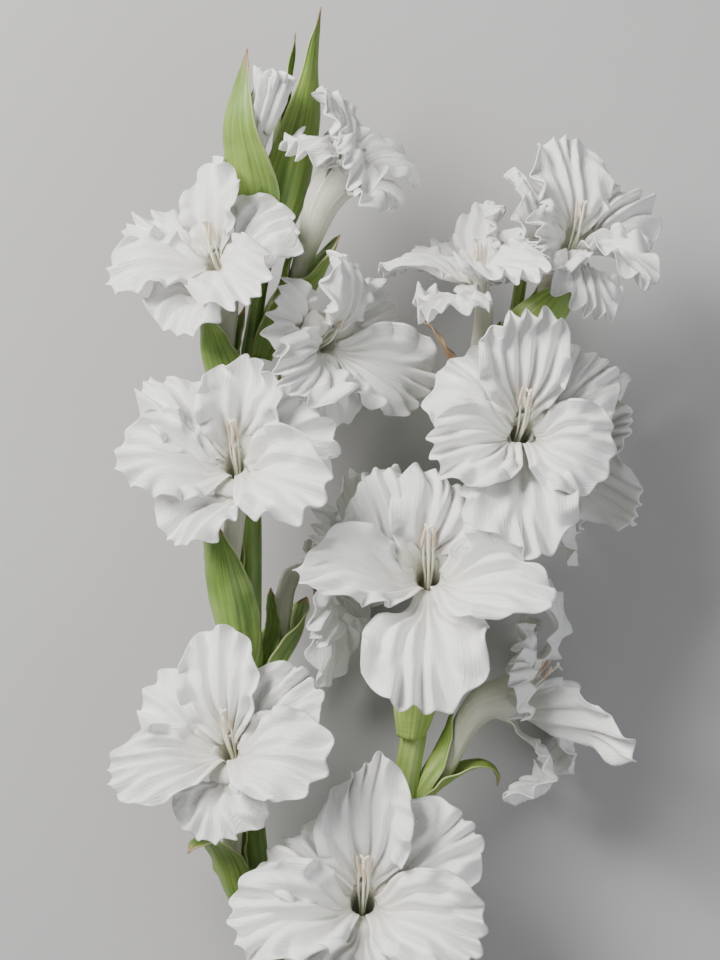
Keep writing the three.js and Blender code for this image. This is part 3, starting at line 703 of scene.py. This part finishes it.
# %% [markdown]
# ## Green tissue
# Stems and bracts are leaf tissue: satin, ribbed lengthwise, with paler veins and a mottle of yellow and deep
# green. A bract dries from its tip, so its colour runs to straw and brown there, and its edges are a thin pale
# line.

# %% Green tissue
def leaf_finish(name, deep, fresh, dry_from, ribs):
    finish = Finish(name, roughness=0.42, subsurface_weight=0.12, subsurface_scale=0.002, coat_weight=0.08)
    finish.shader.inputs["Coat Roughness"].default_value = 0.4
    across, along = finish.uv()
    mottle = finish.noise(finish.place(), 42, detail=3)
    veins = finish.noise(finish.vector(across * ribs, along * 1.6, 4), 1.0, detail=2)
    threads = finish.noise(finish.vector(across * ribs * 3.4, along * 5, 8), 1.0, detail=1)
    speck = finish.noise(finish.place(), 900, detail=2)
    green = finish.mix((veins * 0.55 + mottle * 0.45).step(0.34, 0.66), deep, fresh)
    if dry_from < 1:
        edge = (abs_of(across * 2 - 1)).step(0.93, 1.0)
        green = finish.mix(edge * 0.5, green, (0.62, 0.66, 0.36, 1))
        dry = (along + (veins - 0.5) * 0.16).step(dry_from, dry_from + 0.13)
        husk = finish.mix(threads.step(0.3, 0.7), (0.23, 0.13, 0.075, 1), (0.46, 0.36, 0.22, 1))
        green = finish.mix(dry, green, husk)
        finish.feed(roughness=0.4 + dry * 0.35 + speck * 0.1)
    else:
        pith = 1 - along.step(0.0, 0.0015)
        green = finish.mix(pith, green, (0.66, 0.72, 0.42, 1))
        finish.feed(roughness=0.4 + speck * 0.12)
    finish.feed(base_color=green)
    finish.bump(veins * 0.8 + threads * 0.4 + speck * 0.08, 0.4 * MM, 0.6)
    return finish


def abs_of(value):
    return value.math("ABSOLUTE")


STEM = {
    "left": leaf_finish("left stem", (0.10, 0.19, 0.035, 1), (0.24, 0.36, 0.085, 1), 1, 15),
    "right": leaf_finish("right stem", (0.16, 0.27, 0.05, 1), (0.33, 0.44, 0.12, 1), 1, 15),
}
BRACT = {
    "left": leaf_finish("left bract", (0.11, 0.21, 0.03, 1), (0.29, 0.42, 0.09, 1), 0.86, 26),
    "right": leaf_finish("right bract", (0.16, 0.28, 0.04, 1), (0.36, 0.48, 0.12, 1), 0.86, 26),
}
HUSK = leaf_finish("dried bract", (0.22, 0.13, 0.06, 1), (0.40, 0.28, 0.14, 1), 0.5, 26)
print("made", len(STEM) + len(BRACT) + 1, "green and dry finishes")

# %% [markdown]
# ## Rods along a line
# A stem, a filament and an anther are all a round rod bent along a line. Each is a grid rolled into a tube,
# with a radius that may change along it and round it.

# %% A rod along a line
def cumulative(points):
    gone = np.concatenate([[0], np.cumsum(np.linalg.norm(np.diff(points, axis=0), axis=1))])
    return gone / gone[-1]


def rod(name, line, radius, over, around, steps, finish):
    """radius gives the radius at each angle round the rod and share along it. over is a way across the line."""
    mesh = grid_mesh(name, around, steps)
    across, along, _ = grid_places(mesh)
    knots = cumulative(line)
    centre = curve_weights(knots, along) @ line
    ahead = curve_weights(knots, np.minimum(along + 0.005, 1.004)) @ line
    behind = curve_weights(knots, np.maximum(along - 0.005, -0.004)) @ line
    way = unit(ahead - behind)
    side = unit(np.cross(way, over))
    top = np.cross(side, way)
    angle = across * 2 * math.pi
    r = radius(angle, along)[:, None]
    points = centre + r * (np.cos(angle)[:, None] * side + np.sin(angle)[:, None] * top)
    return finished(mesh, points, finish, close=True)


# %% [markdown]
# ## The stems
# The CAD stem is a chain of ten-sided rings. Its centre line and radius carry over. A real stem is finely
# ribbed, swells a little where each floret leaves it, and shows a leaf scar or two on the bare stalk.

# %% The stems
RIBS = 14
RIB_DEPTH = 0.25 * MM
NODE_SWELL = 0.9 * MM
NODE_LENGTH = 7 * MM
SCARS = (0.13, 0.24, 0.345)  # shares of the stem's length
SCAR_SWELL = 0.7 * MM
STEM_AROUND, STEM_STEPS = 56, 380


def measured_line(node):
    """The centre and the mean radius of each ring of a turned CAD solid, from the cut end up."""
    bm = merged(node)
    links = links_of(bm)
    corners = np.array([v.co for v in bm.verts])
    bm.free()
    sides = max(len(near) for near in links.values())
    start = min((v for v in links if len(links[v]) == sides), key=lambda v: corners[v][1])
    rings = [corners[row] for row in rows_from(start, links)]
    centres = np.array([ring.mean(axis=0) for ring in rings])
    radii = np.array([np.linalg.norm(ring - ring.mean(axis=0), axis=1).mean() for ring in rings])
    return centres, radii


def stem(side):
    centres, radii = measured_line(side + "_stem")
    line, radii = centres[1:-1], radii[1:-1]
    line[0] = centres[0]
    knots = cumulative(line)
    length = np.linalg.norm(np.diff(line, axis=0), axis=1).sum()
    feet = [f.foot for f in florets if f.name.startswith(side)]
    nodes = [knots[np.argmin(np.linalg.norm(line - foot, axis=1))] for foot in feet]
    wander = Wander(np.random.default_rng(len(feet)), low=2, high=9)

    def radius(angle, along):
        r = curve_weights(knots, along) @ radii
        r = r + RIB_DEPTH * np.abs(np.cos(angle * RIBS / 2)) - RIB_DEPTH / 2
        for node in nodes:
            r = r + NODE_SWELL * np.exp(-(((along - node) * length / NODE_LENGTH) ** 2))
        for scar in SCARS:
            past = (along - scar) * length
            r = r + SCAR_SWELL * np.where(past < 0, np.exp(past / (5 * MM)), np.exp(-past / (0.8 * MM)))
        return r * (1 + 0.02 * wander.at(along * 6, np.sin(angle)))

    piece = rod(side + ".stem", line, radius, (0, 0, 1), STEM_AROUND, STEM_STEPS, STEM[side])
    floor_gap = min(v.co.z for v in piece.data.vertices)
    piece.data.transform(Matrix.Translation((0, 0, max(0, -floor_gap))))
    print(piece.name, round(length, 3), "m,", len(nodes), "nodes")
    return settle_in(piece, "stem", side + "_stem")


for side in ("left", "right"):
    stem(side)

# %% [markdown]
# ## The bracts
# Two green bracts clasp each floret's tube: a broad one outside and a narrower one within. The CAD sheet gives
# their rows. The fine sheet gets a keel down its middle and a thin waving edge. It is drawn in to the stem at
# its foot, and laid round the stem where it would sink in.

# %% The bracts
BRACT_RAW_ROWS = 6  # rows of corners below the tip
BRACT_FINE = 0.7 * MM
KEEL = 1.0 * MM
EDGE_WAVE = 0.8 * MM
FOOT_DRAW = 9 * MM
FOOT_SHARE = {"outer": 0.75, "inner": 0.4}  # of the first row's width, at the foot
WIDER = {"outer": 1.3, "inner": 1.12}
CLASP = 0.65
DRIED = "right_floret_6_outer_bract"
LEANS = {"left_bud_outer_bract": (5, -6, 0), DRIED: (-10, 8, 12)}  # mm, at the tip
STEM_CLEARANCE = 0.9 * MM
CLASP_END = 0.7  # of the bract's length
LINES = {side: measured_line(side + "_stem") for side in ("left", "right")}


def hug(points, along, side):
    """Draws the foot of a bract to the stem, and lays it round the stem where it would sink in."""
    centres, radii = (measured[1:-1] for measured in LINES[side])
    places = np.linspace(0, 1, 500)
    weights = curve_weights(cumulative(centres), places)
    line, thick = weights @ centres, weights @ radii
    way = unit(points[along > 0.8].mean(axis=0) - points[along < 0.2].mean(axis=0))
    draw_in = CLASP * (1 - abs(way[2])) * smooth(1 - along / CLASP_END)
    for level in np.unique(along):
        row = along == level
        middle_of = points[row].mean(axis=0)
        near = line[np.argmin(np.linalg.norm(line - middle_of, axis=1))]
        points[row] += (near - middle_of) * draw_in[row][:, None]
    nearest = np.argmin(np.linalg.norm(points[:, None] - line[None], axis=2), axis=1)
    out = points - line[nearest]
    gap = np.linalg.norm(out, axis=1)
    least = thick[nearest] + STEM_CLEARANCE
    inside = gap < least
    points[inside] = line[nearest][inside] + (out / np.maximum(gap, 1e-6)[:, None] * least[:, None])[inside]
    return points


def beyond(sheet, across, along):
    """A place on the sheet, or straight on from its edge where across runs past 0 or 1."""
    inside = np.clip(across, 0, 1)
    small = 0.02
    back = np.where(across > 0.5, inside - small, inside + small)
    slope = (sheet.at(inside, along) - sheet.at(back, along)) / small
    return sheet.at(inside, along) + np.abs(across - inside)[:, None] * slope


def path_through(row, links):
    """The corners of a row from one of its ends to the other."""
    inside = set(row)
    order = [next(v for v in row if len(links[v] & inside) == 1)]
    while len(order) < len(row):
        order.append(next(w for w in links[order[-1]] & inside if w not in order))
    return order


def bract_rows(node, corners_across):
    rows, links, centre = middle_sheet(node, BRACT_THICKNESS, [1] + [corners_across] * BRACT_RAW_ROWS)
    made = []
    for row in rows[1:]:
        points = np.array([centre[v] for v in path_through(row, links)])
        if made and np.linalg.norm(points - made[-1]) > np.linalg.norm(points[::-1] - made[-1]):
            points = points[::-1]
        made.append(points)
    tip = np.repeat([centre[rows[0][0]]], corners_across, axis=0)
    return np.array([*made[::-1], tip])


def bract(node, corners_across, number, finish, foot):
    rows = bract_rows(node, corners_across)
    away = unit((rows[0] - rows[1]).mean(axis=0))
    kind = node.split("_")[-2]
    low = foot + (rows[0] - foot) * FOOT_SHARE[kind] + away * FOOT_DRAW
    rows = np.array([low, *rows])
    lengths = np.linalg.norm(np.diff(rows, axis=0), axis=2).mean(axis=1)
    sheet = Sheet(rows, np.concatenate([[0], np.cumsum(lengths)]) / lengths.sum())
    mesh = grid_mesh(node.replace("_outer", ".outer").replace("_inner", ".inner"), 26, 70)
    across, along, _ = grid_places(mesh)
    draw = np.random.default_rng(7000 + number)
    wave = Wander(draw, low=2, high=5)
    v = across * 2 - 1
    normal = sheet.front(across, np.clip(along, 0.001, 0.985))
    bulge = rows[2].mean(axis=0) - (rows[2][0] + rows[2][-1]) / 2
    outward = np.sign((normal[np.abs(v) < 0.1] @ bulge).sum())
    off = KEEL * np.maximum(0, 1 - np.abs(v) * 3.2) * np.sin(math.pi * np.clip(along, 0, 1))
    off = off + EDGE_WAVE * wave.at(along * 5, v) * np.abs(v) ** 3 * smooth(along / 0.3)
    off = off + 0.3 * MM * wave.at(v * 4, along * 2)
    wide = 0.5 + (across - 0.5) * WIDER[kind]
    points = beyond(sheet, wide, along) + normal * (outward * off * (1 - smooth((along - 0.9) / 0.1)))[:, None]
    points += np.array(LEANS.get(node, (0, 0, 0))) * MM * smooth(along)[:, None]
    points = hug(points, along, node.split("_")[0])
    points[:, 2] = np.maximum(points[:, 2], BRACT_FINE)
    return settle_in(finished(mesh, points, finish, BRACT_FINE), "bract", node)


OUTER_CORNERS, INNER_CORNERS = 5, 4
for number, floret in enumerate(florets):
    side = floret.name.split("_")[0]
    for kind, across_count in (("outer", OUTER_CORNERS), ("inner", INNER_CORNERS)):
        node = f"{floret.name}_{kind}_bract"
        finish = HUSK if node == DRIED else BRACT[side]
        bract(node, across_count, 2 * number + (kind == "inner"), finish, floret.foot)
for number, name in enumerate(("left_bud", "left_tip")):
    rings = [bract_rows(f"{name}_{kind}_bract", across_count)[0].mean(axis=0)
             for kind, across_count in (("outer", OUTER_CORNERS), ("inner", INNER_CORNERS))]
    foot = (rings[0] + rings[1]) / 2
    bract(name + "_outer_bract", OUTER_CORNERS, 100 + number, BRACT["left"], foot)
    bract(name + "_inner_bract", INNER_CORNERS, 110 + number, BRACT["left"], foot)
print("made", 2 * len(florets) + 4, "bracts")

# %% [markdown]
# ## Stamens and style
# Three stamens stand round one style, and all four arch towards the upper lobe. Each anther is a long narrow
# double pod, pinkish beige, and the style ends in three pale lobes that spread.

# %% Stamens and style
PART_ROW = 2  # the tube ring where the filaments part from it
RISE = 21 * MM
ARCH = 9 * MM
SPREAD = 2.4 * MM
FILAMENT = 0.5 * MM
ANTHER_HALF = 5.2 * MM
ANTHER = 0.9 * MM
STYLE_EXTRA = 6 * MM
STIGMA = 4.5 * MM


def pale_finish(name, light, dark, scale, roughness):
    finish = Finish(name, roughness=roughness, subsurface_weight=0.25, subsurface_scale=0.002)
    grain = finish.noise(finish.place(), scale, detail=3)
    finish.feed(base_color=finish.mix(grain.step(0.35, 0.65), dark, light), roughness=roughness + 0.1 * grain)
    finish.bump(grain, 0.2 * MM, 0.6)
    return finish


THREAD = pale_finish("filament", (0.90, 0.89, 0.78, 1), (0.84, 0.84, 0.66, 1), 500, 0.45)
POLLEN = pale_finish("anther", (0.82, 0.70, 0.54, 1), (0.66, 0.50, 0.38, 1), 1400, 0.75)


def stamens(floret, number):
    size = floret.radius / UNIT_THROAT
    draw = np.random.default_rng(9000 + number)
    nodes = [floret.name + "_stamens_and_style"]
    start = floret.ring_centres[PART_ROW]
    made = []
    for k in range(4):
        style = k == 3
        turn = math.radians(30 + 120 * k)
        out = math.cos(turn) * floret.right + math.sin(turn) * floret.up
        rise = (RISE + (STYLE_EXTRA if style else draw.uniform(-2, 2) * MM)) * size
        off = out * (0 if style else SPREAD * size)
        line = np.array([
            start,
            floret.throat + off * 0.6,
            floret.throat + off + floret.face * rise * 0.55 + floret.up * ARCH * size * 0.3,
            floret.throat + off * draw.uniform(0.7, 1.3) + floret.face * rise + floret.up * ARCH * size,
        ])
        name = f"{floret.name}.{'style' if style else 'filament_' + str(k + 1)}"
        thin = FILAMENT * size * (1.15 if style else 1)
        made.append(rod(name, line, lambda angle, along: thin * (1.15 - 0.3 * along) + 0 * angle,
                        floret.right, 10, 30, THREAD))
        way = unit(line[-1] - line[-2])
        if style:
            for lobe in range(3):
                lean = math.radians(20 + 120 * lobe)
                spread = unit(way + 0.75 * (math.cos(lean) * floret.right + math.sin(lean) * floret.up))
                tip = np.array([line[-1], line[-1] + way * STIGMA * size * 0.5,
                                line[-1] + spread * STIGMA * size])
                made.append(rod(
                    f"{floret.name}.stigma_{lobe + 1}", tip,
                    lambda angle, along: thin * (0.8 + 0.5 * along) * np.sqrt(np.maximum(1 - along**6, 0.02)),
                    floret.right, 8, 10, THREAD))
        else:
            middle_of = line[-1]
            pod = unit(way + 0.25 * draw.uniform(-1, 1) * floret.right)
            ends = np.array([middle_of - pod * ANTHER_HALF * size, middle_of + off * 0.12,
                             middle_of + pod * ANTHER_HALF * size + floret.up * 0.8 * MM])
            made.append(rod(
                f"{floret.name}.anther_{k + 1}", ends,
                lambda angle, along: ANTHER * size * (0.82 + 0.18 * np.abs(np.cos(angle)))
                * np.sqrt(np.maximum(1 - (2 * along - 1) ** 6, 0.01)),
                floret.right, 14, 26, POLLEN))
    for piece in made:
        settle_in(piece, "stamen", *nodes)
    return made


count = sum(len(stamens(floret, number)) for number, floret in enumerate(florets))
print("made", count, "stamen and style pieces")

# %% [markdown]
# ## The bud
# The bud's petals are still rolled round each other. Three frilled sheets wrap its measured line, each a little
# inside the last, and their ruffled ends show above the bract.

# %% The bud
BUD_SHEETS = 3
BUD_WRAP = math.radians(230)
BUD_STEP = 0.9 * MM
BUD_OPENS = 0.66  # the petals part from here up
BUD_MOUTH = 8.2 * MM
BUD_FRILL = 1.9 * MM
BUD_LEAN = Vector((9 * MM, -6 * MM, 9 * MM))  # the open end leans out of its bract


def bud():
    centres, radii = measured_line("left_bud_petals")
    line, radii = centres[1:-1], radii[1:-1]
    knots = cumulative(line)
    made = []
    for number in range(BUD_SHEETS):
        mesh = grid_mesh(f"left_bud.petal_{number + 1}", 60, 70)
        across, along, _ = grid_places(mesh)
        draw = np.random.default_rng(500 + number)
        wander = Wander(draw, low=2, high=6)
        angle = (across - 0.5) * BUD_WRAP + number * 2 * math.pi / BUD_SHEETS + along * 0.5
        reach = along * (0.99 - 0.05 * np.abs(across * 2 - 1) ** 3) + 0.02 * wander.at(across * 3, across * 0)
        reach = np.clip(np.where(along < 0.7, along, reach), 0, 1.01)
        centre = curve_weights(knots, reach) @ line
        way = unit(curve_weights(knots, np.minimum(reach + 0.01, 1)) @ line
                   - curve_weights(knots, np.minimum(reach, 0.99) - 0.01) @ line)
        side = unit(np.cross(way, (0, 0, 1)))
        top = np.cross(side, way)
        open_part = smooth((along - BUD_OPENS) / (1 - BUD_OPENS))
        pleat = np.sin(angle * 9 + 1.5 * wander.at(across, along)) * BUD_FRILL * open_part
        r = np.maximum(curve_weights(knots, reach) @ radii, BUD_MOUTH * open_part)
        loose = 1.4 * MM * open_part * wander.at(across * 2, along)
        r = r + BUD_STEP * (across - 0.5) - BUD_STEP * 0.5 + pleat + loose
        centre = centre + np.array(BUD_LEAN) * smooth((along - 0.4) / 0.6)[:, None]
        points = centre + r[:, None] * (np.cos(angle)[:, None] * side + np.sin(angle)[:, None] * top)
        made.append(settle_in(finished(mesh, points, PETAL, PETAL_THICKNESS), "petal", "left_bud_petals"))
    return made


print("made", [piece.name for piece in bud()])
